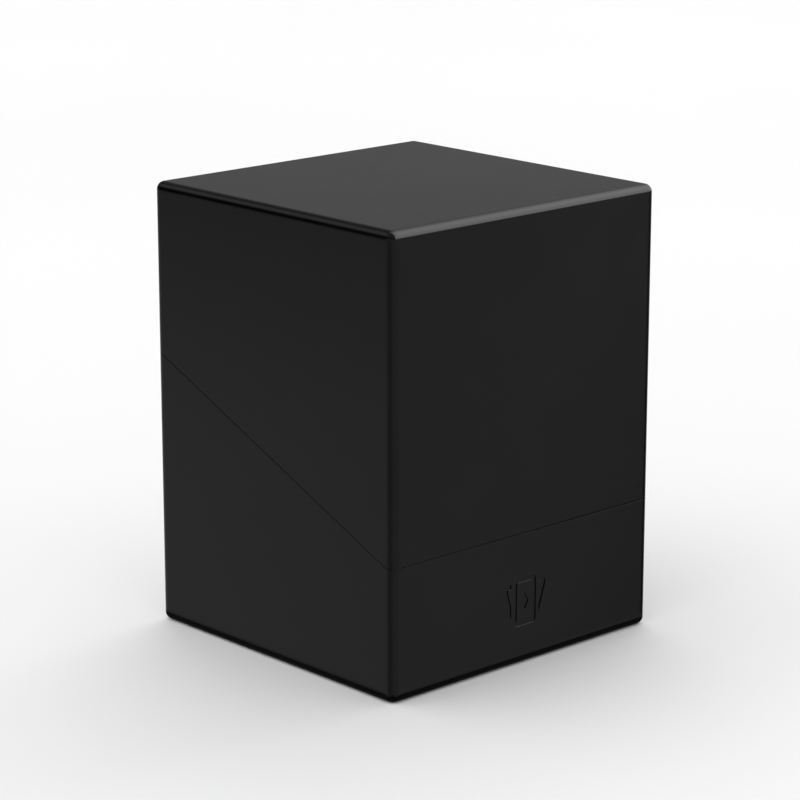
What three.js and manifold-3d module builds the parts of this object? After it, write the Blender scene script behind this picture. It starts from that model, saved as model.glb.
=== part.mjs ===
// A rigid two-part deck box for about a hundred double-sleeved playing cards, in black moulded plastic.
//
// The lower shell and the lid are open boxes with the same wall. They meet flush along one seam, which runs
// level and low across the front, climbs straight up both sides, and runs level and high across the back.
// A thin four-sided card frame is snapped into the lower shell. It stands up past the seam as a collar,
// holds the cards, and guides the lid, which lifts straight off.
//
// Millimetres. X is across the front, Y runs from the front to the back, Z is up. The origin is the centre
// of the footprint, on the surface that the box stands on.

import * as THREE from 'three';
import { mergeVertices } from 'three/addons/utils/BufferGeometryUtils.js';
import Module from 'manifold-3d';

const wasm = await Module();
wasm.setup();

// ---------------------------------------------------------------- driving dimensions

const CASE = { width: 77, depth: 76, height: 99.4 };
const CORNER_R = 2.0;          // upright edges
const CASE_EDGE = 1.75;        // round along the lid's top edge and the lower shell's bottom edge

const SHELL_WALL = 2.0;        // lid and lower shell
const ROOF = 2.2;
const FLOOR = 2.4;
const CAVITY_R = 1.0;          // upright inside corners of both shells
const CAVITY_EDGE = 0.6;       // round where the inside walls meet the floor or the roof

// The seam's two levels, how far in from each face it climbs, and half the length of each short curve.
const SEAM = { front: 29.2, back: 61.4, frontInset: 1.5, backInset: 2, bend: 0.7 };
const SEAM_GAP = 0.1;

const SLIDE_GAP = 0.3;         // all round, between the frame and either shell
const FRAME_WALL = 1.3;
const FRAME_R = 1.1;
const FRAME_EDGE = 0.4;        // rounded edges of the frame
const FRAME_LIFT = 0.2;        // from the floor to the frame's lower edge
const COLLAR = 14;             // how far the frame stands up past the seam
const COLLAR_BEND = 6;         // half the length of each curve of the collar's rim

// The thumb's way in, in the front collar. Its floor is just above the seam, and its shoulders flare out.
const NOTCH = { radius: 11, shoulder: 4, rise: 1, above: 0.6, reach: 10 };

// Snap beads on the collar: wall turned about Z, place along that wall, height and length.
const BEADS = [
  { turn: 0, along: -24, z: 37.9, length: 11 },
  { turn: 0, along: 24, z: 37.9, length: 11 },
  { turn: 90, along: 0, z: 52.4, length: 12 },
  { turn: 180, along: -20, z: 69.9, length: 16 },
  { turn: 180, along: 20, z: 69.9, length: 16 },
  { turn: 270, along: 0, z: 52.4, length: 12 },
];
const BEAD = { height: 0.22, half: 0.75, spare: 0 };
const GROOVE = { height: 0.3, half: 1.0, spare: 1.0 };
const BEAD_SINK = 0.1;         // from the wall to the middle of the bar that makes a bead or a groove

// Barbs round the frame's foot, two on each wall, and the pockets in the lower shell that they snap into.
const BARB = { along: 22, length: 8, foot: 5, height: 3, proud: 0.8 };
const POCKET = { deep: 0.9, spare: 0.4 };

const FOOT_RECESS = { border: 4.5, radius: 3, deep: 0.6 };
const GATE = { radius: 3, deep: 0.5, nub: 0.9, nubHeight: 0.3 };
const EJECTOR = { radius: 2.5, deep: 0.15, x: 24, y: 23.5 };

// The emblem's middle is at z. Each card is an outlined groove, and a gap is left round the front one.
const EMBLEM = {
  z: 14,
  card: [6.6, 10.6],
  radius: 1,
  line: 0.9,
  fan: 18,
  pip: [2.2, 3.6],
  gap: 0.8,
  deep: 0.2,
};

const ARC_STEPS = 4;           // three.js makes twice as many along an arc
const FACE_ARC_STEPS = 12;     // arcs drawn on a wall: the notch and the emblem
const BEVEL_STEPS = 6;
const SMALL_EDGE_STEPS = 2;    // for the rounds inside the shells and on the frame
const BEND_STEPS = 6;          // along each curve of the seam and of the collar's rim
const DISC_SIDES = 32;
const BEAD_SIDES = 12;
const BEAD_RINGS = 3;          // at each round end of a bead

const PAST = 1;                // how far a cutter runs past the face that it cuts
const WALLS = [0, 90, 180, 270];  // each wall's turn about Z from the front
const MERGE = 1e-4;            // vertices closer than this are one

// ---------------------------------------------------------------- what follows from them

const CAVITY = { width: CASE.width - 2 * SHELL_WALL, depth: CASE.depth - 2 * SHELL_WALL };
const FRAME = { width: CAVITY.width - 2 * SLIDE_GAP, depth: CAVITY.depth - 2 * SLIDE_GAP };
const BAY = { width: FRAME.width - 2 * FRAME_WALL, depth: FRAME.depth - 2 * FRAME_WALL };
const FRAME_FOOT = FLOOR + FRAME_LIFT;
const CLIMB_FROM = -CASE.depth / 2 + SEAM.frontInset;
const CLIMB_TO = CASE.depth / 2 - SEAM.backInset;
const CLIMB = SEAM.back - SEAM.front;

// ---------------------------------------------------------------- solids and placing

function solidOf(geometry) {
  const bare = geometry.clone();
  bare.deleteAttribute('normal');
  bare.deleteAttribute('uv');
  const merged = mergeVertices(bare, MERGE);
  return new wasm.Manifold(new wasm.Mesh({
    numProp: 3,
    vertProperties: merged.getAttribute('position').array,
    triVerts: new Uint32Array(merged.index.array),
  }));
}

function geometryOf(solid) {
  const mesh = solid.getMesh();
  const geometry = new THREE.BufferGeometry();
  geometry.setAttribute('position', new THREE.BufferAttribute(mesh.vertProperties, 3));
  geometry.setIndex(new THREE.BufferAttribute(mesh.triVerts, 1));
  geometry.computeVertexNormals();
  return geometry;
}

// A rounded rectangle about the origin. Its long sides along Y also get a point at each of the stops.
function roundedRectangle(width, depth, radius, stops = [], path = new THREE.Shape()) {
  const x = width / 2;
  const y = depth / 2;
  const between = stops.filter((stop) => Math.abs(stop) < y - radius);
  path.moveTo(x, -y + radius);
  between.forEach((stop) => path.lineTo(x, stop));
  path.lineTo(x, y - radius);
  path.absarc(x - radius, y - radius, radius, 0, Math.PI / 2);
  path.lineTo(-x + radius, y);
  path.absarc(-x + radius, y - radius, radius, Math.PI / 2, Math.PI);
  [...between].reverse().forEach((stop) => path.lineTo(-x, stop));
  path.lineTo(-x, -y + radius);
  path.absarc(-x + radius, -y + radius, radius, Math.PI, 1.5 * Math.PI);
  path.lineTo(x - radius, -y);
  path.absarc(x - radius, -y + radius, radius, 1.5 * Math.PI, 2 * Math.PI);
  return path;
}

// An upright prism from one height to another. Both ends are rounded by edge.in across and edge.up along.
function upright(shape, from, to, edge = { in: 0, up: 0 }, edgeSteps = BEVEL_STEPS) {
  const geometry = new THREE.ExtrudeGeometry(shape, {
    depth: to - from - 2 * edge.up,
    curveSegments: ARC_STEPS,
    bevelEnabled: edge.in > 0,
    bevelSize: edge.in,
    bevelOffset: -edge.in,
    bevelThickness: edge.up,
    bevelSegments: edgeSteps,
  });
  return geometry.translate(0, 0, from + edge.up);
}

function disc(radius, x, y, from, to) {
  const geometry = new THREE.CylinderGeometry(radius, radius, to - from, DISC_SIDES);
  return solidOf(geometry.rotateX(Math.PI / 2).translate(x, y, (from + to) / 2));
}

// Stands a shape drawn in (along, z) up against the front wall plane, as thick as from y0 back to y1.
function againstFront(shape, y0, y1) {
  const geometry = new THREE.ExtrudeGeometry(shape, {
    depth: y1 - y0,
    curveSegments: FACE_ARC_STEPS,
    bevelEnabled: false,
  });
  return geometry.rotateX(Math.PI / 2).translate(0, y1, 0);
}

// Turns what was made at the front wall round to another wall. The side walls are a little further out.
function toWall(geometry, turn, size) {
  const sideways = turn % 180 !== 0;
  const shift = sideways ? (size.depth - size.width) / 2 : 0;
  return solidOf(geometry.translate(0, shift, 0).rotateZ(THREE.MathUtils.degToRad(turn)));
}

const union = (solids) => solids.reduce((all, one) => all.add(one));

// ---------------------------------------------------------------- the seam and the collar's rim

// The seam in (y, z), from in front of the case to behind it, raised by lift. Its bends are parabolas.
function seamLine(shape, lift, reach) {
  const slope = CLIMB / (CLIMB_TO - CLIMB_FROM);
  const low = SEAM.front + lift;
  const high = SEAM.back + lift;
  const b = SEAM.bend;
  shape.moveTo(-reach, low);
  shape.lineTo(CLIMB_FROM - b, low);
  shape.quadraticCurveTo(CLIMB_FROM, low, CLIMB_FROM + b, low + slope * b);
  shape.lineTo(CLIMB_TO - b, high - slope * b);
  shape.quadraticCurveTo(CLIMB_TO, high, CLIMB_TO + b, high);
  shape.lineTo(reach, high);
}

// Everything under the seam line, or everything over it, as wide as the case and more.
function sideOfSeam(lift, endZ) {
  const reach = CASE.depth;
  const shape = new THREE.Shape();
  seamLine(shape, lift, reach);
  shape.lineTo(reach, endZ);
  shape.lineTo(-reach, endZ);
  const width = 2 * CASE.width;
  const geometry = new THREE.ExtrudeGeometry(shape, {
    depth: width,
    curveSegments: BEND_STEPS,
    bevelEnabled: false,
  });
  const yzToWorld = new THREE.Matrix4().makeBasis(
    new THREE.Vector3(0, 1, 0), new THREE.Vector3(0, 0, 1), new THREE.Vector3(1, 0, 0));
  return solidOf(geometry.translate(0, 0, -width / 2).applyMatrix4(yzToWorld));
}

// How far the collar's rim has climbed at y: level, a parabola, a straight climb, a parabola, level.
function rimClimb(y) {
  const slope = CLIMB / (CLIMB_TO - CLIMB_FROM - 2 * COLLAR_BEND);
  const eased = (t) => {
    if (t <= -COLLAR_BEND) return 0;
    if (t >= COLLAR_BEND) return t;
    return (t + COLLAR_BEND) ** 2 / (4 * COLLAR_BEND);
  };
  return slope * (eased(y - CLIMB_FROM - COLLAR_BEND) - eased(y - CLIMB_TO + COLLAR_BEND));
}

// The heights along a side at which the rim needs a point.
function rimStops() {
  const low = [];
  const high = [];
  for (let i = 0; i < BEND_STEPS; i += 1) {
    low.push(CLIMB_FROM + (2 * COLLAR_BEND * (i + 1)) / BEND_STEPS);
    high.push(CLIMB_TO - 2 * COLLAR_BEND * (1 - i / BEND_STEPS));
  }
  return [...low, ...high];
}

// ---------------------------------------------------------------- pieces

function cavity(from, to) {
  const shape = roundedRectangle(CAVITY.width, CAVITY.depth, CAVITY_R);
  return solidOf(upright(shape, from, to, { in: CAVITY_EDGE, up: CAVITY_EDGE }, SMALL_EDGE_STEPS));
}

function ejectorMarks(from, to) {
  const places = [-EJECTOR.x, EJECTOR.x].flatMap((x) => [-EJECTOR.y, EJECTOR.y].map((y) => [x, y]));
  return union(places.map(([x, y]) => disc(EJECTOR.radius, x, y, from, to)));
}

// A flattened round-ended bar in every bead's place, standing out by size.height from the given walls.
function beadBars(size, walls) {
  return union(BEADS.map((bead) => {
    const long = bead.length + 2 * size.spare;
    const bar = new THREE.CapsuleGeometry(size.half, long - 2 * size.half, BEAD_RINGS, BEAD_SIDES);
    bar.rotateZ(Math.PI / 2).scale(1, (size.height + BEAD_SINK) / size.half, 1);
    bar.translate(bead.along, BEAD_SINK - walls.depth / 2, bead.z);
    return toWall(bar, bead.turn, walls);
  }));
}

function lidShell() {
  const outline = roundedRectangle(CASE.width, CASE.depth, CORNER_R);
  const block = solidOf(upright(outline, 0, CASE.height, { in: CASE_EDGE, up: CASE_EDGE }));
  const roofInside = CASE.height - ROOF;
  return block
    .subtract(cavity(-CASE.height, roofInside))
    .subtract(ejectorMarks(roofInside - PAST, roofInside + EJECTOR.deep))
    .subtract(beadBars(GROOVE, CAVITY))
    .intersect(sideOfSeam(SEAM_GAP / 2, 2 * CASE.height));
}

function barbPockets() {
  const wall = -CAVITY.depth / 2;
  const long = BARB.length + 2 * POCKET.spare;
  const high = BARB.height + 2 * POCKET.spare;
  const box = new THREE.BoxGeometry(long, 2 * POCKET.deep, high);
  const z = BARB.foot + BARB.height / 2;
  return union(WALLS.flatMap((turn) => [-BARB.along, BARB.along].map(
    (along) => toWall(box.clone().translate(along, wall, z), turn, CAVITY))));
}

// The standing rim is what is left round this recess. The moulding gate is a nub in a dimple at its middle.
function footRecess() {
  const border = 2 * FOOT_RECESS.border;
  const outline = roundedRectangle(CASE.width - border, CASE.depth - border, FOOT_RECESS.radius);
  const gateTop = FOOT_RECESS.deep + GATE.deep;
  return solidOf(upright(outline, -PAST, FOOT_RECESS.deep))
    .add(disc(GATE.radius, 0, 0, -PAST, gateTop))
    .subtract(disc(GATE.nub, 0, 0, gateTop - GATE.nubHeight, gateTop + PAST));
}

// A rounded card outline as a groove, or the whole card when line is 0.
function cardShape(line, grow = 0) {
  const [width, height] = EMBLEM.card;
  const shape = roundedRectangle(width + 2 * grow, height + 2 * grow, EMBLEM.radius + grow);
  if (line > 0) {
    shape.holes.push(roundedRectangle(
      width - 2 * line, height - 2 * line, EMBLEM.radius - line / 2, [], new THREE.Path()));
  }
  return shape;
}

function pipShape() {
  const [x, z] = EMBLEM.pip.map((size) => size / 2);
  return new THREE.Shape([[x, 0], [0, z], [-x, 0], [0, -z]].map(([px, pz]) => new THREE.Vector2(px, pz)));
}

// Three fanned cards in outline, with a diamond on the front one: a plain sign for a deck, sunk in.
function emblem() {
  const face = -CASE.depth / 2;
  const cut = (shape, turn = 0) => solidOf(againstFront(shape, face - PAST, face + EMBLEM.deep)
    .translate(0, 0, EMBLEM.card[1] / 2)
    .rotateY(THREE.MathUtils.degToRad(turn))
    .translate(0, 0, EMBLEM.z - EMBLEM.card[1] / 2));
  const front = cut(cardShape(EMBLEM.line)).add(cut(pipShape()));
  const cover = cut(cardShape(0, EMBLEM.gap));
  const left = cut(cardShape(EMBLEM.line), -EMBLEM.fan).subtract(cover);
  const right = cut(cardShape(EMBLEM.line), EMBLEM.fan).subtract(cover);
  return front.add(left).add(right);
}

function baseShell() {
  const outline = roundedRectangle(CASE.width, CASE.depth, CORNER_R);
  return solidOf(upright(outline, 0, CASE.height, { in: CASE_EDGE, up: CASE_EDGE }))
    .subtract(cavity(FLOOR, 2 * CASE.height))
    .subtract(ejectorMarks(FLOOR - EJECTOR.deep, FLOOR + PAST))
    .subtract(barbPockets())
    .subtract(footRecess())
    .subtract(emblem())
    .intersect(sideOfSeam(-SEAM_GAP / 2, -CASE.height));
}

// A half round with flared shoulders, drawn in (x, z). It ends just over the rim, to cut right through it.
function thumbNotch() {
  const top = SEAM.front + COLLAR + NOTCH.above;
  const middle = SEAM.front + NOTCH.rise + NOTCH.radius;
  const wide = NOTCH.radius + NOTCH.shoulder;
  const shape = new THREE.Shape();
  shape.moveTo(-wide, top);
  shape.quadraticCurveTo(-NOTCH.radius, top, -NOTCH.radius, middle);
  shape.absarc(0, middle, NOTCH.radius, Math.PI, 2 * Math.PI);
  shape.quadraticCurveTo(NOTCH.radius, top, wide, top);
  const front = -CASE.depth / 2;
  return solidOf(againstFront(shape, front, front + NOTCH.reach));
}

// A wedge that is drawn in (y, z): flat on top to catch, and sloped below to slide in.
function frameBarbs() {
  const wall = -FRAME.depth / 2;
  const root = wall + FRAME_WALL / 2;
  const top = BARB.foot + BARB.height;
  const wedge = new THREE.Shape([
    [root, BARB.foot],
    [root, top],
    [wall - BARB.proud, top],
    [wall - BARB.proud, top - BARB.proud],
    [wall, BARB.foot],
  ].map(([y, z]) => new THREE.Vector2(y, z)));
  const bar = new THREE.ExtrudeGeometry(wedge, { depth: BARB.length, bevelEnabled: false });
  bar.translate(0, 0, -BARB.length / 2).applyMatrix4(new THREE.Matrix4().makeBasis(
    new THREE.Vector3(0, 1, 0), new THREE.Vector3(0, 0, 1), new THREE.Vector3(1, 0, 0)));
  return union(WALLS.flatMap((turn) => [-BARB.along, BARB.along].map(
    (along) => toWall(bar.clone().translate(along, 0, 0), turn, FRAME))));
}

function cardFrame() {
  const stops = rimStops();
  const outline = roundedRectangle(FRAME.width, FRAME.depth, FRAME_R, stops);
  const hole = roundedRectangle(BAY.width, BAY.depth, FRAME_R, stops, new THREE.Path());
  outline.holes.push(hole);
  const rim = SEAM.front + COLLAR;
  const tube = upright(outline, FRAME_FOOT, rim, { in: FRAME_EDGE, up: FRAME_EDGE }, SMALL_EDGE_STEPS);
  const position = tube.getAttribute('position');
  for (let i = 0; i < position.count; i += 1) {
    if (position.getZ(i) > SEAM.front) position.setZ(i, position.getZ(i) + rimClimb(position.getY(i)));
  }
  return solidOf(tube).add(beadBars(BEAD, FRAME)).add(frameBarbs()).subtract(thumbNotch());
}

// ---------------------------------------------------------------- the assembly

const shellPlastic = new THREE.MeshStandardMaterial({ color: 0x1c1c1d, roughness: 0.42, metalness: 0 });
const framePlastic = new THREE.MeshStandardMaterial({ color: 0x202021, roughness: 0.5, metalness: 0 });

function piece(name, solid, material) {
  const mesh = new THREE.Mesh(geometryOf(solid), material);
  mesh.name = name;
  return mesh;
}

const lower = new THREE.Group();
lower.add(piece('base_shell', baseShell(), shellPlastic));
lower.add(piece('card_frame', cardFrame(), framePlastic));

const lid = new THREE.Group();
lid.add(piece('lid_shell', lidShell(), shellPlastic));

const deckBox = new THREE.Group();
deckBox.add(lower, lid);

export default deckBox;
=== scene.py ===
"""A card deck box: fine meshes for its two shells and its card frame, their plastics, and a studio.

Everything is in metres, in the frame's own axes: X across the front, Y from front to back, Z up.
"""

import math

import bmesh
import bpy
from mathutils import Matrix, Vector


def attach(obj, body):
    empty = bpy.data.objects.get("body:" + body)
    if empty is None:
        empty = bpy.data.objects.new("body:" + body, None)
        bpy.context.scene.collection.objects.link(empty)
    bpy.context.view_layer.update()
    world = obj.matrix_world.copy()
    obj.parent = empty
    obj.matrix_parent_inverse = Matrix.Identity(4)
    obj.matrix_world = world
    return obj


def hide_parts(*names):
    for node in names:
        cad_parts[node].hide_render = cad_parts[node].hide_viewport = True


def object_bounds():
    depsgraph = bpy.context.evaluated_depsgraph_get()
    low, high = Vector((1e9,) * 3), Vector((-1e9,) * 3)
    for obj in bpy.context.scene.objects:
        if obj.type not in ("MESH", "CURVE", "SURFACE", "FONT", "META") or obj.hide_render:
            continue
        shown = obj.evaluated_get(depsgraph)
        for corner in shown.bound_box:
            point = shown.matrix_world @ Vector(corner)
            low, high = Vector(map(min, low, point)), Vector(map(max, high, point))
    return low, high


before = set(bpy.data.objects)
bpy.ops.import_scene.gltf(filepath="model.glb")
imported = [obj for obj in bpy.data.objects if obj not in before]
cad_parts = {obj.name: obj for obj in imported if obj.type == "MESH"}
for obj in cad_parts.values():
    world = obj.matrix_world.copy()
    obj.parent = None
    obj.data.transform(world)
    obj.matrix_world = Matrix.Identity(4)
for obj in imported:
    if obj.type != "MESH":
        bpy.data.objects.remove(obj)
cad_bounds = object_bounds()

MM = 0.001

# ------------------------------------------------------------------ sizes

LOW, HIGH = cad_bounds
WIDTH = HIGH.x - LOW.x
DEPTH = HIGH.y - LOW.y

CORNER_R = 2.0 * MM
CASE_EDGE = (1.75 * MM, 1.75 * MM)     # round along the top and the bottom, across and along the wall
WALL = 2.0 * MM
ROOF = 2.2 * MM
FLOOR = 2.4 * MM
CAVITY_R = 1.0 * MM
CAVITY_EDGE = (0.6 * MM, 0.6 * MM)

SEAM_FRONT = 29.2 * MM
SEAM_BACK = 61.4 * MM
SEAM_INSETS = (1.5 * MM, 2.0 * MM)     # where the climb starts and ends, from the front and back faces
SEAM_BEND = 0.7 * MM
SEAM_GAP = 0.1 * MM
LIP_EDGE = 0.02 * MM                   # rounding of both rims along the seam

SLIDE_GAP = 0.3 * MM
FRAME_WALL = 1.3 * MM
FRAME_R = 1.1 * MM
FRAME_EDGE = 0.4 * MM
FRAME_LIFT = 0.2 * MM
COLLAR = 14.0 * MM
COLLAR_BEND = 6.0 * MM
NOTCH_R = 11.0 * MM
NOTCH_RISE = 1.0 * MM                  # from the seam up to the thumb notch's floor
NOTCH_SHOULDER = 3.5 * MM

# Snap beads: the wall's turn about Z in degrees, then place along it, height and length in millimetres.
BEADS = [
    (0, -24, 37.9, 11),
    (0, 24, 37.9, 11),
    (90, 0, 52.4, 12),
    (180, -20, 69.9, 16),
    (180, 20, 69.9, 16),
    (270, 0, 52.4, 12),
]
BEAD_HEIGHT, BEAD_HALF = 0.22 * MM, 0.75 * MM
GROOVE_DEPTH, GROOVE_HALF, GROOVE_SPARE = 0.3 * MM, 1.0 * MM, 1.0 * MM
BEAD_SINK = 0.1 * MM

BARB_ALONG, BARB_LENGTH = 22 * MM, 8 * MM
BARB_FOOT, BARB_HEIGHT = 5 * MM, 3 * MM
BARB_PROUD, BARB_TOE = 0.8 * MM, 0.05 * MM
POCKET_DEEP, POCKET_SPARE = 0.9 * MM, 0.4 * MM

RECESS_BORDER, RECESS_R = 4.5 * MM, 3.0 * MM
RECESS_DEEP, RECESS_EDGE = 0.6 * MM, 0.2 * MM
GATE_R, GATE_DEEP = 3.0 * MM, 0.5 * MM
NUB_R, NUB_HEIGHT = 0.9 * MM, 0.3 * MM
EJECTOR_R, EJECTOR_DEEP = 2.5 * MM, 0.15 * MM
EJECTOR_X, EJECTOR_Y = 24 * MM, 23.5 * MM

EMBLEM_Z = 14.0 * MM
EMBLEM_CARD = (6.6 * MM, 10.6 * MM)
EMBLEM_R, EMBLEM_LINE, EMBLEM_GAP = 1.0 * MM, 0.9 * MM, 0.8 * MM
EMBLEM_PIP = (2.2 * MM, 3.6 * MM)
EMBLEM_FAN = 18                        # degrees
EMBLEM_DEEP = 0.2 * MM
EMBLEM_CHAMFER, EMBLEM_DRAFT = 0.02 * MM, 0.02 * MM
EMBLEM_FLARE = 3 * EMBLEM_CHAMFER      # how much wider a cutter is where it passes out of the face

ARC_STEPS = 12                         # round each upright corner
EDGE_STEPS = 12                        # across each large rounded edge
SMALL_STEPS = 4                        # across the small ones
DISC_STEPS = 64                        # round each turned mark
BEAD_STEPS, BEAD_RINGS = 24, 6         # round each snap bead, and along each of its ends
SHOULDER_STEPS, NOTCH_STEPS = 10, 40   # along each shoulder of the thumb notch, and round its arc
SIDE_STEPS = 36                        # along each side rim of the frame
HOLD = 0.35 * MM                       # how far flat faces stay flat beside a rounded edge

CAVITY = (WIDTH - 2 * WALL, DEPTH - 2 * WALL)
FRAME_SIZE = (CAVITY[0] - 2 * SLIDE_GAP, CAVITY[1] - 2 * SLIDE_GAP)
CLIMB_FROM = LOW.y + SEAM_INSETS[0]
CLIMB_TO = HIGH.y - SEAM_INSETS[1]
CLIMB = SEAM_BACK - SEAM_FRONT


# ------------------------------------------------------------------ outlines and lofts

def along(half, radius, marks):
    """Places along a straight side, from end to end, each at a set distance from the nearer corner."""
    end = half - radius
    return [mark - end for mark in marks] + [end - mark for mark in reversed(marks)]


SIDE_MARKS = (HOLD, 2 * HOLD, 3.2 * HOLD)      # a few near each corner keep the flat sides flat


def outline(size, radius, inset=0.0, marks=SIDE_MARKS):
    """A rounded rectangle's points, anticlockwise from its front. Inset corners stay concentric."""
    half_x, half_y = size[0] / 2, size[1] / 2
    x_marks, y_marks = along(half_x, radius, marks), along(half_y, radius, marks)
    centre_x, centre_y, round_r = half_x - radius, half_y - radius, radius - inset
    half_x, half_y = half_x - inset, half_y - inset
    points = [(x, -half_y) for x in x_marks]
    sides = [(centre_x, -centre_y, -90, [(half_x, y) for y in y_marks]),
             (centre_x, centre_y, 0, [(x, half_y) for x in reversed(x_marks)]),
             (-centre_x, centre_y, 90, [(-half_x, y) for y in reversed(y_marks)]),
             (-centre_x, -centre_y, 180, [])]
    for x, y, start, side in sides:
        for step in range(ARC_STEPS + 1):
            angle = math.radians(start + 90 * step / ARC_STEPS)
            points.append((x + round_r * math.cos(angle), y + round_r * math.sin(angle)))
        points += side
    return points


def add_loop(bm, points, height):
    """One loop of vertices. The height is a number, or a function of y."""
    level = height if callable(height) else lambda y: height
    return [bm.verts.new((x, y, level(y))) for x, y in points]


def skin(bm, loops, closed=False):
    """Joins each loop to the next one with a band of quads."""
    pairs = list(zip(loops, loops[1:]))
    if closed:
        pairs.append((loops[-1], loops[0]))
    for one, other in pairs:
        for i in range(len(one)):
            j = (i + 1) % len(one)
            bm.faces.new((one[i], one[j], other[j], other[i]))


def object_of(bm, name):
    """A new object from the mesh code, with its faces pointing out."""
    bmesh.ops.recalc_face_normals(bm, faces=bm.faces)
    mesh = bpy.data.meshes.new(name)
    bm.to_mesh(mesh)
    bm.free()
    made = bpy.data.objects.new(name, mesh)
    bpy.context.scene.collection.objects.link(made)
    return made


def quarter(edge, steps):
    """Offsets (across, along) of a quarter round, from the wall to the flat."""
    turns = [math.pi / 2 * step / steps for step in range(steps + 1)]
    return [(edge[0] * (1 - math.cos(turn)), edge[1] * (1 - math.sin(turn))) for turn in turns]


# ------------------------------------------------------------------ cutting and joining

def combine(piece, tools, operation):
    """Cuts the tools from a piece, or joins them to it, and removes them."""
    for tool in tools:
        modifier = piece.modifiers.new("combine", "BOOLEAN")
        modifier.operation = operation
        modifier.solver = "EXACT"
        modifier.object = tool
        bpy.context.view_layer.update()
        evaluated = piece.evaluated_get(bpy.context.evaluated_depsgraph_get())
        mesh = bpy.data.meshes.new_from_object(evaluated)
        piece.modifiers.remove(modifier)
        old = piece.data
        piece.data = mesh
        bpy.data.meshes.remove(old)
        bpy.data.meshes.remove(tool.data)


def turned(profile, place, steps=DISC_STEPS):
    """A solid turned about an upright axis. Its profile of (radius, z) starts and ends on the axis."""
    bm = bmesh.new()
    rims = []
    for radius, z in profile[1:-1]:
        angles = [2 * math.pi * step / steps for step in range(steps)]
        rims.append([bm.verts.new((place[0] + radius * math.cos(a), place[1] + radius * math.sin(a), z))
                     for a in angles])
    skin(bm, rims)
    for rim, (_, z) in ((rims[0], profile[0]), (rims[-1], profile[-1])):
        tip = bm.verts.new((place[0], place[1], z))
        for i in range(steps):
            bm.faces.new((rim[i], rim[(i + 1) % steps], tip))
    return object_of(bm, "turned")


def against(turn, size, place):
    """The matrix that takes what is drawn at a box's front wall to the wall at that turn."""
    sideways = turn % 180 != 0
    reach = (size[0] if sideways else size[1]) / 2
    put = Matrix.Translation((place[0], -reach, place[1]))
    return Matrix.Rotation(math.radians(turn), 4, "Z") @ put


def bead_bar(size, bead, height, half, spare):
    """A flattened round-ended bar: a snap bead where it is joined on, a groove where it is cut out."""
    turn, place, z, length = bead
    straight = length * MM / 2 + spare - half
    bm = bmesh.new()
    deep = (height + BEAD_SINK) / half
    loops = []
    for end in (-1, 1):
        tilts = [math.pi / 2 * ring / BEAD_RINGS for ring in range(BEAD_RINGS)]
        for tilt in reversed(tilts) if end < 0 else tilts:
            x = end * (straight + half * math.sin(tilt))
            r = half * math.cos(tilt)
            turns = [2 * math.pi * (step + 0.5) / BEAD_STEPS for step in range(BEAD_STEPS)]
            loops.append([bm.verts.new((x, r * deep * math.cos(a), r * math.sin(a))) for a in turns])
    skin(bm, loops)
    for loop, end in ((loops[0], -1), (loops[-1], 1)):
        tip = bm.verts.new((end * (straight + half), 0, 0))
        for i in range(BEAD_STEPS):
            bm.faces.new((loop[i], loop[(i + 1) % BEAD_STEPS], tip))
    bar = object_of(bm, "bar")
    sunk = Matrix.Translation((0, BEAD_SINK, 0))
    bar.data.transform(against(turn, size, (place * MM, z * MM)) @ sunk)
    return bar


def prism(section, length, matrix):
    """A bar of a section drawn in (y, z), centred along X, and then placed."""
    bm = bmesh.new()
    ends = [[bm.verts.new((x, y, z)) for y, z in section] for x in (-length / 2, length / 2)]
    skin(bm, ends)
    for end in ends:
        bm.faces.new(end)
    bar = object_of(bm, "prism")
    bar.data.transform(matrix)
    return bar


def ejector_marks(low, high):
    """Four shallow discs that the ejector pins leave on a flat inside face."""
    profile = [(0, low), (EJECTOR_R, low), (EJECTOR_R, high), (0, high)]
    return [turned(profile, (x, y)) for x in (-EJECTOR_X, EJECTOR_X) for y in (-EJECTOR_Y, EJECTOR_Y)]


# ------------------------------------------------------------------ the seam and the collar's rim

def seam(y):
    """The seam's height at y: level, then a straight climb, then level, with short soft bends."""
    slope = CLIMB / (CLIMB_TO - CLIMB_FROM)

    def eased(t):
        if abs(t) >= SEAM_BEND:
            return max(t, 0)
        return (t + SEAM_BEND) ** 2 / (4 * SEAM_BEND)

    return SEAM_FRONT + slope * (eased(y - CLIMB_FROM) - eased(y - CLIMB_TO))


def rim(y):
    """The collar rim's height at y, and its slope."""
    slope = CLIMB / (CLIMB_TO - CLIMB_FROM - 2 * COLLAR_BEND)

    def eased(t):
        if t <= -COLLAR_BEND:
            return 0.0, 0.0
        if t >= COLLAR_BEND:
            return t, 1.0
        return (t + COLLAR_BEND) ** 2 / (4 * COLLAR_BEND), (t + COLLAR_BEND) / (2 * COLLAR_BEND)

    up, down = eased(y - CLIMB_FROM - COLLAR_BEND), eased(y - CLIMB_TO + COLLAR_BEND)
    return SEAM_FRONT + COLLAR + slope * (up[0] - down[0]), slope * (up[1] - down[1])


# ------------------------------------------------------------------ the two shells

def lip_loops(bm, side):
    """The rim along the seam, from inside to outside. Side is 1 over the seam, -1 under it."""
    loops = []

    def level(rise):
        return lambda y: seam(y) + side * (SEAM_GAP / 2 + rise)

    edge = quarter((LIP_EDGE, LIP_EDGE), SMALL_STEPS)
    loops.append(add_loop(bm, outline(CAVITY, CAVITY_R), level(LIP_EDGE + HOLD)))
    loops += [add_loop(bm, outline(CAVITY, CAVITY_R, -across), level(rise))
              for across, rise in edge]
    shell = (WIDTH, DEPTH)
    loops += [add_loop(bm, outline(shell, CORNER_R, across), level(rise))
              for across, rise in reversed(edge)]
    loops.append(add_loop(bm, outline(shell, CORNER_R), level(LIP_EDGE + HOLD)))
    return loops


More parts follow.
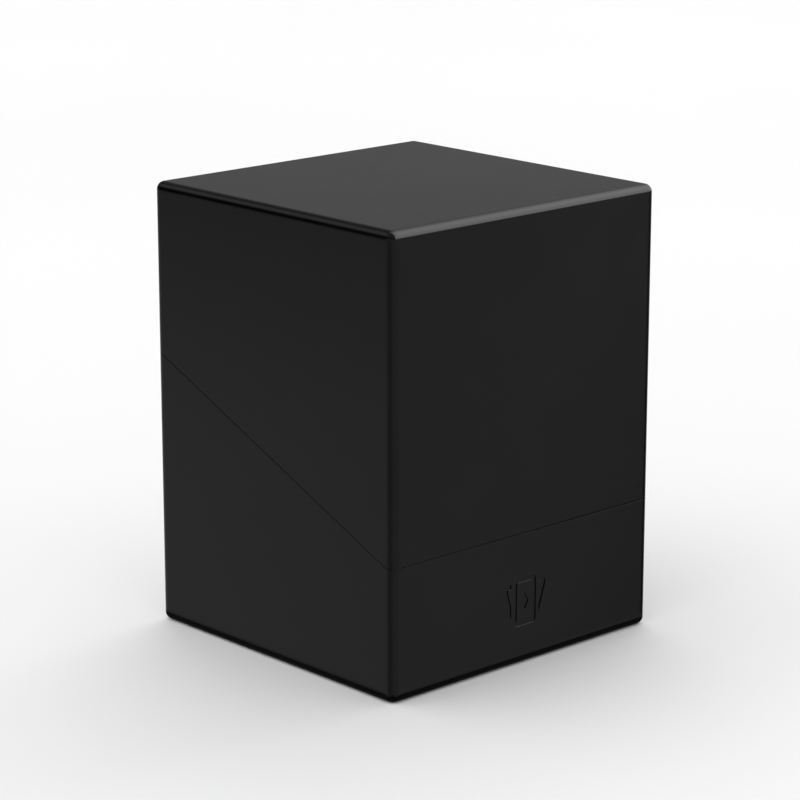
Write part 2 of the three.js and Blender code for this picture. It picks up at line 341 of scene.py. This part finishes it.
def rounded_end(bm, size, radius, edge, steps, flat, side):
    """Where walls turn into a flat end at height flat. Side is 1 if the walls come from below."""
    loops = [add_loop(bm, outline(size, radius), flat - side * (edge[1] + HOLD))]
    loops += [add_loop(bm, outline(size, radius, across), flat - side * rise)
              for across, rise in quarter(edge, steps)]
    return loops


def flat_end(bm, size, radius, inset, flat):
    """The last loop of a flat end, kept a little way inside the rounded edge, with its face."""
    loop = add_loop(bm, outline((size[0] - 2 * inset, size[1] - 2 * inset), radius), flat)
    bm.faces.new(loop)
    return loop


def make_lid():
    bm = bmesh.new()
    shell = (WIDTH, DEPTH)
    ceiling = HIGH.z - ROOF
    inside = rounded_end(bm, CAVITY, CAVITY_R, CAVITY_EDGE, SMALL_STEPS, ceiling, 1)
    inside.append(flat_end(bm, CAVITY, CAVITY_R, 2 * CAVITY_EDGE[0], ceiling))
    outside = rounded_end(bm, shell, CORNER_R, CASE_EDGE, EDGE_STEPS, HIGH.z, 1)
    outside.append(flat_end(bm, shell, CORNER_R, CASE_EDGE[0] + 2 * HOLD, HIGH.z))
    skin(bm, list(reversed(inside)) + lip_loops(bm, 1) + outside)
    lid = object_of(bm, "lid_moulding")
    marks = ejector_marks(ceiling - MM, ceiling + EJECTOR_DEEP)
    grooves = [bead_bar(CAVITY, bead, GROOVE_DEPTH, GROOVE_HALF, GROOVE_SPARE) for bead in BEADS]
    combine(lid, marks + grooves, "DIFFERENCE")
    return lid


def foot_recess(bm):
    """The loops from the standing rim up into the recess under the base, and the recess's flat roof."""
    size = (WIDTH - 2 * RECESS_BORDER, DEPTH - 2 * RECESS_BORDER)
    loops = []
    for step in range(SMALL_STEPS + 1):
        turn = math.pi / 2 * step / SMALL_STEPS
        across = RECESS_EDGE * (1 - math.sin(turn))
        rise = RECESS_EDGE * (1 - math.cos(turn))
        loops.append(add_loop(bm, outline(size, RECESS_R, -across), LOW.z + rise))
    loops.append(flat_end(bm, size, RECESS_R, 0, LOW.z + RECESS_DEEP))
    return loops


def pockets():
    """The blind pockets that the card frame's barbs snap into."""
    low, high = BARB_FOOT - POCKET_SPARE, BARB_FOOT + BARB_HEIGHT + POCKET_SPARE
    section = [(-POCKET_DEEP, low), (POCKET_DEEP, low), (POCKET_DEEP, high), (-POCKET_DEEP, high)]
    return [prism(section, BARB_LENGTH + 2 * POCKET_SPARE, against(turn, CAVITY, (place, 0)))
            for turn in (0, 90, 180, 270) for place in (-BARB_ALONG, BARB_ALONG)]


def gate_mark():
    """A dimple in the middle of the recess, with the nub that the moulding gate leaves."""
    low, top = LOW.z - MM, LOW.z + RECESS_DEEP + GATE_DEEP
    nub = top - NUB_HEIGHT
    half = [(0, low), (GATE_R, low), (GATE_R, top), (NUB_R, top), (NUB_R, nub), (0, nub)]
    return turned(half, (0, 0))


def emblem_place(turn):
    """Moves a card drawn in (x, z), with y as depth, onto the front face and fans it by turn."""
    fan = Matrix.Translation((0, 0, -EMBLEM_CARD[1] / 2)) @ Matrix.Rotation(math.radians(turn), 4, "Y")
    rise = Matrix.Translation((0, 0, EMBLEM_CARD[1] / 2))
    return Matrix.Translation((0, LOW.y, EMBLEM_Z)) @ fan @ rise


def emblem_cutter(levels, turn=0, hollow=False):
    """A cutter whose sides follow the levels, each a grown outline's (size, radius, grow, depth)."""
    bm = bmesh.new()
    loops = []
    for size, radius, grow, depth in levels:
        points = outline(size, radius, -grow)
        loops.append([bm.verts.new((x, depth, z)) for x, z in points])
    skin(bm, loops, closed=hollow)
    if not hollow:
        bm.faces.new(loops[0])
        bm.faces.new(loops[-1])
    cutter = object_of(bm, "cutter")
    cutter.data.transform(emblem_place(turn))
    return cutter


# A sunken line's side, from outside the face down to its floor: (how far it is grown, depth).
EMBLEM_SIDE = [
    (EMBLEM_FLARE, EMBLEM_CHAMFER - EMBLEM_FLARE),
    (0, EMBLEM_CHAMFER),
    (-EMBLEM_DRAFT, EMBLEM_DEEP),
]


def card_outline(turn=0):
    """A groove round a card, with a small chamfer at the surface and a little draft below it."""
    size = EMBLEM_CARD
    inner = (size[0] - 2 * EMBLEM_LINE, size[1] - 2 * EMBLEM_LINE)
    inner_r = EMBLEM_R - EMBLEM_LINE / 2
    levels = [(size, EMBLEM_R, grow, depth) for grow, depth in EMBLEM_SIDE]
    levels += [(inner, inner_r, -grow, depth) for grow, depth in reversed(EMBLEM_SIDE)]
    return emblem_cutter(levels, turn, hollow=True)


def card_cover():
    """What the front card hides of the cards behind it, with a gap round it."""
    grown = EMBLEM_GAP
    return emblem_cutter([(EMBLEM_CARD, EMBLEM_R, grown, depth) for depth in (-MM, MM)])


def emblem_pip():
    """A sunken diamond in the middle of the front card."""
    bm = bmesh.new()
    loops = []
    for grow, depth in EMBLEM_SIDE:
        x, z = EMBLEM_PIP[0] / 2 + grow, EMBLEM_PIP[1] / 2 + grow
        corners = [(x, depth, 0), (0, depth, z), (-x, depth, 0), (0, depth, -z)]
        loops.append([bm.verts.new(corner) for corner in corners])
    skin(bm, loops)
    bm.faces.new(loops[0])
    bm.faces.new(loops[-1])
    pip = object_of(bm, "pip")
    pip.data.transform(emblem_place(0))
    return pip


def emblem_cutters():
    """Three fanned cards, the front one whole and the other two showing from behind it."""
    fanned = [card_outline(-EMBLEM_FAN), card_outline(EMBLEM_FAN)]
    for card in fanned:
        combine(card, [card_cover()], "DIFFERENCE")
    return [card_outline(), emblem_pip(), *fanned]


def make_base():
    bm = bmesh.new()
    inside = rounded_end(bm, CAVITY, CAVITY_R, CAVITY_EDGE, SMALL_STEPS, FLOOR, -1)
    inside.append(flat_end(bm, CAVITY, CAVITY_R, 2 * CAVITY_EDGE[0], FLOOR))
    foot = rounded_end(bm, (WIDTH, DEPTH), CORNER_R, CASE_EDGE, EDGE_STEPS, LOW.z, -1)
    skin(bm, list(reversed(inside)) + lip_loops(bm, -1) + foot + foot_recess(bm))
    base = object_of(bm, "base_moulding")
    marks = ejector_marks(FLOOR - EJECTOR_DEEP, FLOOR + MM)
    combine(base, marks + pockets() + [gate_mark()] + emblem_cutters(), "DIFFERENCE")
    return base


# ------------------------------------------------------------------ the card frame

def notch_path():
    """The thumb notch from left to right: (x, z), and the way out of the plastic in (x, z)."""
    top = SEAM_FRONT + COLLAR
    middle = SEAM_FRONT + NOTCH_RISE + NOTCH_R
    wide = NOTCH_R + NOTCH_SHOULDER
    shoulder = []
    for step in range(SHOULDER_STEPS):
        t = step / SHOULDER_STEPS
        x = -wide + NOTCH_SHOULDER * (1 - (1 - t) ** 2)
        z = top - (top - middle) * t ** 2
        run, fall = 2 * NOTCH_SHOULDER * (1 - t), -2 * (top - middle) * t
        size = math.hypot(run, fall)
        shoulder.append((x, z, -fall / size, run / size))
    arc = []
    for step in range(NOTCH_STEPS + 1):
        turn = math.pi * (1 + step / NOTCH_STEPS)
        across, along_z = math.cos(turn), math.sin(turn)
        arc.append((NOTCH_R * across, middle + NOTCH_R * along_z, -across, -along_z))
    return shoulder + arc + [(-x, z, -nx, nz) for x, z, nx, nz in reversed(shoulder)]


def frame_columns(size, radius):
    """The frame's wall as columns: place, the way outwards, the rim's height and the way up there."""
    half_x, half_y = size[0] / 2, size[1] / 2
    centre_x, centre_y = half_x - radius, half_y - radius
    columns = []

    def column(x, y, out_x, out_y):
        z, slope = rim(y)
        lean = -slope * out_x / math.hypot(1, slope)
        columns.append((x, y, out_x, out_y, z, lean, 1 / math.hypot(1, slope * out_x)))

    def corner(x, y, start):
        for step in range(ARC_STEPS + 1):
            turn = math.radians(start + 90 * step / ARC_STEPS)
            out_x, out_y = math.cos(turn), math.sin(turn)
            column(x + radius * out_x, y + radius * out_y, out_x, out_y)

    ends = along(half_x, radius, SIDE_MARKS)
    left, right = ends[:len(SIDE_MARKS)], ends[len(SIDE_MARKS):]
    for x in left:
        column(x, -half_y, 0, -1)
    for x, z, lean, up in notch_path():
        columns.append((x, -half_y, 0, -1, z, lean, up))
    for x in right:
        column(x, -half_y, 0, -1)
    corner(centre_x, -centre_y, -90)
    side = [centre_y * (2 * step / SIDE_STEPS - 1) for step in range(1, SIDE_STEPS)]
    for y in side:
        column(half_x, y, 1, 0)
    corner(centre_x, centre_y, 0)
    for x in reversed(ends):
        column(x, half_y, 0, 1)
    corner(-centre_x, centre_y, 90)
    for y in reversed(side):
        column(-half_x, y, -1, 0)
    corner(-centre_x, -centre_y, 180)
    return columns


def rim_loop(bm, columns, into, drop):
    """A loop that follows the rim, moved into the wall and down from the rim along the wall."""
    loop = []
    for x, y, out_x, out_y, z, lean, up in columns:
        run = -lean * drop
        at_x = x - out_x * into - out_y * run
        at_y = y - out_y * into + out_x * run
        loop.append(bm.verts.new((at_x, at_y, z - up * drop)))
    return loop


def wall_loop(bm, columns, into, z):
    """A level loop round the frame, moved into the wall."""
    return [bm.verts.new((x - out_x * into, y - out_y * into, z))
            for x, y, out_x, out_y, *_ in columns]


def make_frame():
    bm = bmesh.new()
    bay = (FRAME_SIZE[0] - 2 * FRAME_WALL, FRAME_SIZE[1] - 2 * FRAME_WALL)
    outside, inside = frame_columns(FRAME_SIZE, FRAME_R), frame_columns(bay, FRAME_R)
    foot = FLOOR + FRAME_LIFT
    edge = quarter((FRAME_EDGE, FRAME_EDGE), SMALL_STEPS)
    held = FRAME_EDGE + HOLD
    loops = [wall_loop(bm, outside, 0, foot + held), rim_loop(bm, outside, 0, held)]
    loops += [rim_loop(bm, outside, into, drop) for into, drop in edge]
    loops += [rim_loop(bm, inside, -into, drop) for into, drop in reversed(edge)]
    loops += [rim_loop(bm, inside, 0, held), wall_loop(bm, inside, 0, foot + held)]
    loops += [wall_loop(bm, inside, -into, foot + rise) for into, rise in edge]
    loops += [wall_loop(bm, outside, into, foot + rise) for into, rise in reversed(edge)]
    skin(bm, loops, closed=True)
    frame_piece = object_of(bm, "frame_moulding")
    beads = [bead_bar(FRAME_SIZE, bead, BEAD_HEIGHT, BEAD_HALF, 0) for bead in BEADS]
    combine(frame_piece, beads + barbs(), "UNION")
    return frame_piece


def barbs():
    """Wedges round the frame's foot: flat on top to catch in their pockets, sloped to slide in."""
    top = BARB_FOOT + BARB_HEIGHT
    section = [
        (FRAME_WALL / 2, BARB_FOOT),
        (FRAME_WALL / 2, top),
        (-BARB_PROUD, top),
        (-BARB_PROUD, top - BARB_PROUD),
        (BARB_TOE, BARB_FOOT),
    ]
    return [prism(section, BARB_LENGTH, against(turn, FRAME_SIZE, (place, 0)))
            for turn in (0, 90, 180, 270) for place in (-BARB_ALONG, BARB_ALONG)]


# ------------------------------------------------------------------ surfaces

SHARP = math.radians(28)               # faces that meet at more than this have a hard edge
RUBBED = math.radians(7)               # edges that turn out by this much or more are rubbed
WELD = 1e-7


def shade(piece):
    """Smooth shading between the sharp edges, and a mark on every vertex that gets rubbed."""
    mesh = piece.data
    bm = bmesh.new()
    bm.from_mesh(mesh)
    bmesh.ops.remove_doubles(bm, verts=bm.verts, dist=WELD)
    rub = []
    for vertex in bm.verts:
        turns = [edge.calc_face_angle_signed(0) for edge in vertex.link_edges]
        rub.append(min(1.0, max(0.0, max(turns, default=0)) / RUBBED))
    bm.to_mesh(mesh)
    bm.free()
    mesh.shade_smooth()
    mesh.set_sharp_from_angle(angle=SHARP)
    mark = mesh.attributes.new("rub", "FLOAT", "POINT")
    mark.data.foreach_set("value", rub)


RANGE_ENDS = ("From Min", "From Max", "To Min", "To Max")
MIX_A, MIX_B, MIX_COLOUR = 6, 7, 2     # where the mix node has its colour sockets


class Graph:
    """Short ways to build a node tree."""

    def __init__(self, tree):
        self.tree = tree

    def node(self, kind, **settings):
        made = self.tree.nodes.new(kind)
        for key, value in settings.items():
            setattr(made, key, value)
        return made

    def link(self, source, target):
        self.tree.links.new(source, target)

    def noise(self, vector, scale, detail=2.0, roughness=0.5):
        made = self.node("ShaderNodeTexNoise")
        made.inputs["Scale"].default_value = scale
        made.inputs["Detail"].default_value = detail
        made.inputs["Roughness"].default_value = roughness
        self.link(vector, made.inputs["Vector"])
        return made.outputs["Fac"]

    def spread(self, value, low, high, to_low, to_high):
        made = self.node("ShaderNodeMapRange")
        for name, number in zip(RANGE_ENDS, (low, high, to_low, to_high)):
            made.inputs[name].default_value = number
        self.link(value, made.inputs["Value"])
        return made.outputs["Result"]

    def fade(self, value, start, end):
        """From nothing at the start to all at the end, smoothly."""
        made = self.node("ShaderNodeMapRange", interpolation_type="SMOOTHSTEP")
        low, high = min(start, end), max(start, end)
        rising = end > start
        for name, number in zip(RANGE_ENDS, (low, high, 1 - rising, rising)):
            made.inputs[name].default_value = number
        self.link(value, made.inputs["Value"])
        return made.outputs["Result"]

    def maths(self, operation, one, other):
        made = self.node("ShaderNodeMath", operation=operation)
        for socket, value in zip(made.inputs, (one, other)):
            if isinstance(value, (int, float)):
                socket.default_value = value
            else:
                self.link(value, socket)
        return made.outputs["Value"]

    def blend(self, factor, one, other):
        made = self.node("ShaderNodeMix", data_type="RGBA")
        self.link(factor, made.inputs["Factor"])
        made.inputs[MIX_A].default_value = (*one, 1)
        if isinstance(other, tuple):
            made.inputs[MIX_B].default_value = (*other, 1)
        else:
            self.link(other, made.inputs[MIX_B])
        return made.outputs[MIX_COLOUR]


def new_material(name):
    material = bpy.data.materials.new(name)
    material.use_nodes = True
    graph = Graph(material.node_tree)
    shader = material.node_tree.nodes["Principled BSDF"]
    return material, graph, shader


FLOW_SCALE, SMUDGE_SCALE = 28, 95      # marks to a metre
SMUDGE_GLOSS, GRAIN_GLOSS = 0.025, 0.02
FLOW_TINT, GRAIN_TINT = 0.6, 0.4
RUB_PATCHES = (0.35, 0.65, 0.25, 1)    # the smudges' range, and the share of the rubbing it leaves
RUB_LIGHT, RUB_SHARE = 2.2, 0.5        # a rubbed edge's lighter colour, and how much of it shows
MIDDLE = (0.3, 0.7)                    # the range that most of a noise keeps to


def plastic(name, dark, light, roughness, grain_size, grain_depth, polish):
    """Moulded plastic: a fine spark-eroded grain, faint flow and handling marks, and rubbed edges."""
    material, graph, shader = new_material(name)
    place = graph.node("ShaderNodeTexCoord").outputs["Object"]
    rub = graph.node("ShaderNodeAttribute", attribute_name="rub").outputs["Fac"]
    flow = graph.noise(place, FLOW_SCALE, 3, 0.55)
    smudge = graph.noise(place, SMUDGE_SCALE, 4, 0.6)
    grain = graph.noise(place, 1 / grain_size, 3, 0.6)
    flow_tint = graph.spread(flow, *MIDDLE, 0, FLOW_TINT)
    grain_tint = graph.spread(grain, *MIDDLE, 0, GRAIN_TINT)
    tint = graph.maths("ADD", flow_tint, grain_tint)
    body = graph.blend(tint, dark, light)
    worn = graph.maths("MULTIPLY", rub, graph.spread(smudge, *RUB_PATCHES))
    lighter = tuple(RUB_LIGHT * part for part in light)
    edged = graph.node("ShaderNodeMix", data_type="RGBA")
    graph.link(graph.maths("MULTIPLY", worn, RUB_SHARE), edged.inputs["Factor"])
    graph.link(body, edged.inputs[MIX_A])
    edged.inputs[MIX_B].default_value = (*lighter, 1)
    graph.link(edged.outputs[MIX_COLOUR], shader.inputs["Base Color"])
    smudged = graph.spread(smudge, *MIDDLE, roughness - SMUDGE_GLOSS, roughness + SMUDGE_GLOSS)
    gloss = graph.maths("ADD", smudged, graph.spread(grain, *MIDDLE, -GRAIN_GLOSS, GRAIN_GLOSS))
    polished = graph.maths("SUBTRACT", gloss, graph.maths("MULTIPLY", worn, polish))
    graph.link(polished, shader.inputs["Roughness"])
    bump = graph.node("ShaderNodeBump")
    bump.inputs["Strength"].default_value = 1
    bump.inputs["Distance"].default_value = grain_depth
    graph.link(grain, bump.inputs["Height"])
    graph.link(bump.outputs["Normal"], shader.inputs["Normal"])
    return material, shader


PLASTIC_IOR = 1.46


def shell_plastic():
    """Smooth glossy black."""
    dark, light = (0.0010, 0.0010, 0.0011), (0.0018, 0.0018, 0.0019)
    material, shader = plastic("shell_black", dark, light, 0.13, 0.22 * MM, 0.0012 * MM, 0.04)
    shader.inputs["IOR"].default_value = PLASTIC_IOR
    return material


def frame_plastic():
    """The same black, duller."""
    dark, light = (0.0022, 0.0022, 0.0023), (0.0032, 0.0032, 0.0033)
    material, shader = plastic("frame_black", dark, light, 0.34, 0.3 * MM, 0.0022 * MM, 0.1)
    shader.inputs["IOR"].default_value = PLASTIC_IOR
    return material


FLOOR_DARK, FLOOR_LIGHT = (0.86, 0.86, 0.86), (0.88, 0.88, 0.88)
FLOOR_TONE_SCALE, FLOOR_GLOSS_SCALE = 3, 40
FLOOR_ROUGHNESS = (0.75, 0.85)
FLOOR_SPECULAR = 0.1


def floor_surface():
    """A matte pale studio floor, with a faint unevenness."""
    material, graph, shader = new_material("studio_floor")
    place = graph.node("ShaderNodeTexCoord").outputs["Object"]
    uneven = graph.spread(graph.noise(place, FLOOR_TONE_SCALE), *MIDDLE, 0, 1)
    graph.link(graph.blend(uneven, FLOOR_DARK, FLOOR_LIGHT), shader.inputs["Base Color"])
    gloss = graph.spread(graph.noise(place, FLOOR_GLOSS_SCALE), *MIDDLE, *FLOOR_ROUGHNESS)
    graph.link(gloss, shader.inputs["Roughness"])
    shader.inputs["Specular IOR Level"].default_value = FLOOR_SPECULAR
    return material


# ------------------------------------------------------------------ studio

VIEW_AZIMUTH = math.radians(-42.79)
VIEW_ELEVATION = math.radians(14.80)
VIEW_DISTANCE = 656.9 * MM
VIEW_AIM = Vector((-0.34, 0.84, 50.85)) * MM
LENS, SENSOR = 134.83, 36
NEAR, FAR_CLIP = 0.01, 30

FLOOR_HALF = 6
SKY_RADIUS = 20

DOME_STRENGTH = 0.733
# Two very broad lights: the level way to each from the box, its height above level, and its strength.
# Way and height are in degrees, and the way turns from BACK towards RIGHT.
KEYS = [
    (60, 20, 1.39),
    (300, 60, 0.88),
]
KEY_ANGLE = math.radians(80)


def add_camera():
    camera = bpy.data.objects.new("camera", bpy.data.cameras.new("camera"))
    bpy.context.scene.collection.objects.link(camera)
    level = math.cos(VIEW_ELEVATION)
    back = Vector((math.sin(VIEW_AZIMUTH) * level,
                   -math.cos(VIEW_AZIMUTH) * level,
                   math.sin(VIEW_ELEVATION)))
    camera.location = VIEW_AIM + back * VIEW_DISTANCE
    camera.rotation_euler = (-back).to_track_quat("-Z", "Y").to_euler()
    camera.data.sensor_width = SENSOR
    camera.data.lens = LENS
    camera.data.clip_start = NEAR
    camera.data.clip_end = FAR_CLIP
    bpy.context.scene.camera = camera


def add_floor():
    bm = bmesh.new()
    bmesh.ops.create_grid(bm, x_segments=4, y_segments=4, size=FLOOR_HALF)
    floor = object_of(bm, "studio_floor")
    floor.location.z = LOW.z
    floor.data.materials.append(floor_surface())
    floor.visible_glossy = False


def add_dome(strength):
    """Plain white light from all round. It lights the floor and the matte part of each surface."""
    world = bpy.data.worlds.new("studio")
    world.use_nodes = True
    background = world.node_tree.nodes["Background"]
    background.inputs["Color"].default_value = (1, 1, 1, 1)
    background.inputs["Strength"].default_value = strength
    world.cycles.sampling_method = "NONE"
    bpy.context.scene.world = world


# What gloss sees round the box, by direction. Each row is (amount, [(axis, from, to), ...]).
# Along an axis nothing is seen at its first number and the whole amount at its second, with a
# smooth fade between. A row's axes multiply, and the rows add up.
UP, RIGHT, BACK = (0, 0, 1), (1, 0, 0), (0, 1, 0)
FAR = (0.657, 0.709, 0)                # level, away from the front left corner
ACROSS = (0.68, -0.73, 0)              # level, from the left corner to the right one
SLANT = (0.579, 0.691, -0.432)         # across the soft diagonal band that the front face shows
CARD = 0.33
SURROUNDINGS = [
    (0.125, [((0.3, 0, 1), 0.1, 0.24), (BACK, -0.55, -0.1)]),
    (0.09, [(UP, 0.1, 0.16), (BACK, -0.55, -0.1), (RIGHT, 0.3, 0.68)]),
    (0.15, [(UP, 0.3, 0.44), (RIGHT, -0.3, -0.5)]),
    (0.2, [(UP, 0.3, 0.45), (BACK, -0.5, -0.75)]),
    (0.25, [((-0.32, 0.71, 0.63), 0.962, 0.995)]),
    (0.25, [(UP, 0.33, 0.48), (BACK, 0.69, 0.52), (RIGHT, -0.3, 0.1)]),
    (2.6, [(UP, 0.02, 0.09), (BACK, 0.62, -0.42), (RIGHT, -0.3, 0.1)]),
    (0.318, [(UP, 0.10, 0.02), (BACK, 0.3, -0.3), (ACROSS, -1.05, 0.4), (SLANT, 0.24, 0.035)]),
    (0.08, [(UP, 0.10, 0.02), (BACK, 0.3, -0.3), (SLANT, 0.005, 0.035), (SLANT, 0.06, 0.035)]),
    (0.35, [(UP, -0.04, -0.28), (BACK, -0.55, 0.45), (RIGHT, 0.3, -0.3)]),
    (0.28, [(UP, 0.1, 0.0), (UP, -0.18, -0.08), (RIGHT, -0.8, -0.93)]),
    (CARD, [(UP, 0.1, 0.0), (FAR, 0.2, 0.95)]),
]


def surroundings_surface():
    """Soft boxes and grey cards as one glow over a great sphere that only reflections can see."""
    material = bpy.data.materials.new("studio_surroundings")
    material.use_nodes = True
    graph = Graph(material.node_tree)
    material.node_tree.nodes.clear()
    place = graph.node("ShaderNodeTexCoord").outputs["Object"]
    way = graph.node("ShaderNodeVectorMath", operation="NORMALIZE")
    graph.link(place, way.inputs[0])
    total = 0.0
    for amount, windows in SURROUNDINGS:
        share = amount
        for axis, start, end in windows:
            part = graph.node("ShaderNodeVectorMath", operation="DOT_PRODUCT")
            graph.link(way.outputs["Vector"], part.inputs[0])
            part.inputs[1].default_value = axis
            share = graph.maths("MULTIPLY", share, graph.fade(part.outputs["Value"], start, end))
        total = graph.maths("ADD", total, share)
    glow = graph.node("ShaderNodeEmission")
    graph.link(total, glow.inputs["Strength"])
    graph.link(glow.outputs["Emission"], graph.node("ShaderNodeOutputMaterial").inputs["Surface"])
    material.cycles.emission_sampling = "NONE"
    return material


def add_surroundings():
    bm = bmesh.new()
    bmesh.ops.create_icosphere(bm, subdivisions=4, radius=SKY_RADIUS)
    sphere = object_of(bm, "studio_surroundings")
    sphere.data.materials.append(surroundings_surface())
    only_for_gloss(sphere)


SHADE = 0.035                          # the sheet's glow beside the box
SHADE_FROM, SHADE_TO = 2.6 * MM, 4.6 * MM
SHEET_LIFT = 0.01 * MM


def shade_surface():
    """Nearly black beside the box, and as bright as the low cards a little way out."""
    material = bpy.data.materials.new("studio_contact_shade")
    material.use_nodes = True
    graph = Graph(material.node_tree)
    material.node_tree.nodes.clear()
    split = graph.node("ShaderNodeSeparateXYZ")
    graph.link(graph.node("ShaderNodeTexCoord").outputs["Object"], split.inputs[0])
    outside = [graph.maths("SUBTRACT", graph.maths("ABSOLUTE", split.outputs[axis], 0), half)
               for axis, half in (("X", WIDTH / 2), ("Y", DEPTH / 2))]
    away = graph.maths("MAXIMUM", *outside)
    glow = graph.node("ShaderNodeEmission")
    rise = graph.maths("MULTIPLY", CARD - SHADE, graph.fade(away, SHADE_FROM, SHADE_TO))
    graph.link(graph.maths("ADD", SHADE, rise), glow.inputs["Strength"])
    graph.link(glow.outputs["Emission"], graph.node("ShaderNodeOutputMaterial").inputs["Surface"])
    material.cycles.emission_sampling = "NONE"
    return material


def only_for_gloss(thing):
    """Nothing but a reflection can see it."""
    thing.visible_camera = False
    thing.visible_diffuse = False
    thing.visible_transmission = False
    thing.visible_volume_scatter = False
    thing.visible_shadow = False


def add_contact_shade():
    """The dark line that the box's own contact shadow puts in the gloss of its lowest edge."""
    bm = bmesh.new()
    bmesh.ops.create_grid(bm, x_segments=1, y_segments=1, size=0.5)
    bmesh.ops.scale(bm, vec=(WIDTH + 2 * SHADE_TO, DEPTH + 2 * SHADE_TO, 1), verts=bm.verts)
    bmesh.ops.translate(bm, vec=(0, 0, LOW.z + SHEET_LIFT), verts=bm.verts)
    sheet = object_of(bm, "studio_contact_shade")
    sheet.data.materials.append(shade_surface())
    only_for_gloss(sheet)


def add_keys():
    """The broad lights that give the floor shadow its shape. The plastic is too dark to show them."""
    for way, height, strength in KEYS:
        way, height = math.radians(way), math.radians(height)
        level = math.cos(height)
        towards = Vector((math.sin(way) * level, math.cos(way) * level, math.sin(height)))
        key = bpy.data.objects.new("key", bpy.data.lights.new("key", "SUN"))
        bpy.context.scene.collection.objects.link(key)
        key.rotation_euler = towards.to_track_quat("Z", "Y").to_euler()
        key.data.energy = strength
        key.data.angle = KEY_ANGLE
        key.visible_glossy = False


def light_studio():
    add_dome(DOME_STRENGTH)
    add_keys()
    add_surroundings()
    add_contact_shade()
    bpy.context.scene.view_settings.view_transform = "Standard"


# ------------------------------------------------------------------ the assembly

def place_piece(make, node, body, material):
    piece = make()
    piece.data.materials.clear()
    piece.data.materials.append(material)
    shade(piece)
    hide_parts(node)
    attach(piece, body)


add_camera()
add_floor()
light_studio()
shell, inner = shell_plastic(), frame_plastic()
place_piece(make_base, "base_shell", "base", shell)
place_piece(make_frame, "card_frame", "base", inner)
place_piece(make_lid, "lid_shell", "lid", shell)
